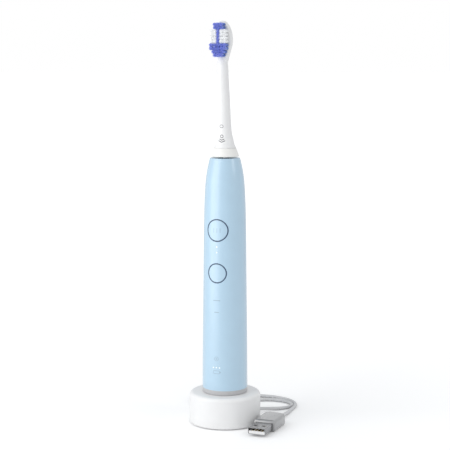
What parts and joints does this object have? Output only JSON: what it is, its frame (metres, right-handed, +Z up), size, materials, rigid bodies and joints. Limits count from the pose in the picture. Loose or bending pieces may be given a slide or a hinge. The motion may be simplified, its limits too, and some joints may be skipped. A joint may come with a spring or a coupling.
{
  "type": "electric toothbrush on charger",
  "caption": "Slim sonic toothbrush with a removable brush head, standing over the peg of a round induction charger with a coiled lead and a flat plug.",
  "frame": {"origin": "centre of the charger's resting face, where its foot ring meets the table", "axes": "+Z up along the handle's axis; the buttons and the tufts face -Y; the plug lies on the +X side"},
  "size_m": [0.0845, 0.0981, 0.272],
  "materials": {
    "charger_white": "satin",
    "base_white": "matte",
    "foot_rubber": "matte",
    "ferrite": "matte",
    "copper_wire": "lacquered",
    "circuit_board": "satin",
    "chip_black": "matte",
    "cord_grey": "satin",
    "plug_white": "satin",
    "plug_steel": "polished",
    "tongue_white": "satin",
    "contact_gold": "polished",
    "handle_blue": "satin",
    "button_blue": "satin",
    "ring_slate": "matte",
    "light_guide": "clear",
    "cap_grey": "satin",
    "seal_rubber": "matte",
    "bobbin_natural": "matte",
    "chassis_white": "matte",
    "cell_wrap": "wrapped",
    "motor_alloy": "cast",
    "bearing_bronze": "sintered",
    "stator_steel": "laminated",
    "shaft_steel": "ground",
    "magnet_nickel": "plated",
    "collar_cream": "satin",
    "brush_white": "satin",
    "nylon_blue": "satin",
    "nylon_white": "satin"
  },
  "bodies": {
    "charger": {"charger_housing": "charger_white", "charger_base_cover": "base_white", "foot_ring": "foot_rubber", "charging_core": "ferrite", "primary_coil": "copper_wire", "charger_board": "circuit_board", "charger_board_parts": "chip_black", "charger_board_screws": "stator_steel", "cord_boot": "cord_grey", "cord_lead": "cord_grey", "cord_coil": "cord_grey", "cord_to_plug": "cord_grey", "plug_body": "plug_white", "plug_shell": "plug_steel", "plug_tongue": "tongue_white", "plug_contacts": "contact_gold"},
    "handle": {"handle_housing": "handle_blue", "power_button_ring": "ring_slate", "mode_button_ring": "ring_slate", "light_guides": "light_guide", "end_cap": "cap_grey", "end_cap_seal": "seal_rubber", "receiver_bobbin": "bobbin_natural", "receiver_coil": "copper_wire", "chassis": "chassis_white", "battery_cell": "cell_wrap", "battery_tabs": "contact_gold", "main_circuit_board": "circuit_board", "control_chips": "chip_black", "power_switch": "chip_black", "mode_switch": "chip_black", "indicator_lamps": "light_guide", "motor_lower_bracket": "motor_alloy", "motor_upper_bracket": "motor_alloy", "lower_bearing": "bearing_bronze", "upper_bearing": "bearing_bronze", "stator_core": "stator_steel", "stator_windings": "copper_wire", "motor_screws": "stator_steel", "shaft_seal": "seal_rubber"},
    "power_button": {"power_button": "button_blue"},
    "mode_button": {"mode_button": "button_blue"},
    "drive_train": {"drive_shaft": "shaft_steel", "rotor_hub": "shaft_steel", "rotor_magnets": "magnet_nickel"},
    "brush_head": {"collar_ring": "collar_cream", "brush_head_body": "brush_white", "shaft_clip": "shaft_steel", "blue_tufts": "nylon_blue", "white_tufts": "nylon_white", "tuft_anchors": "magnet_nickel"}
  },
  "joints": [
    {"name": "handle_lift", "type": "slide", "parent": "charger", "child": "handle", "axis": [0, 0, 1], "range_m": [0, 0.03]},
    {"name": "power_button_press", "type": "slide", "parent": "handle", "child": "power_button", "axis": [0, 1, 0], "range_m": [0, 0.0005], "stiffness_N_per_m": 800},
    {"name": "mode_button_press", "type": "slide", "parent": "handle", "child": "mode_button", "axis": [0, 1, 0], "range_m": [0, 0.0005], "stiffness_N_per_m": 800},
    {"name": "brush_sweep", "type": "hinge", "parent": "handle", "child": "drive_train", "pos_m": [0, 0, 0.2], "axis": [0, 0, 1], "range_deg": [-5.5, 5.5], "stiffness_Nm_per_rad": 0.05},
    {"name": "brush_head_pull", "type": "slide", "parent": "drive_train", "child": "brush_head", "axis": [0, 0, 1], "range_m": [0, 0.03]}
  ]
}
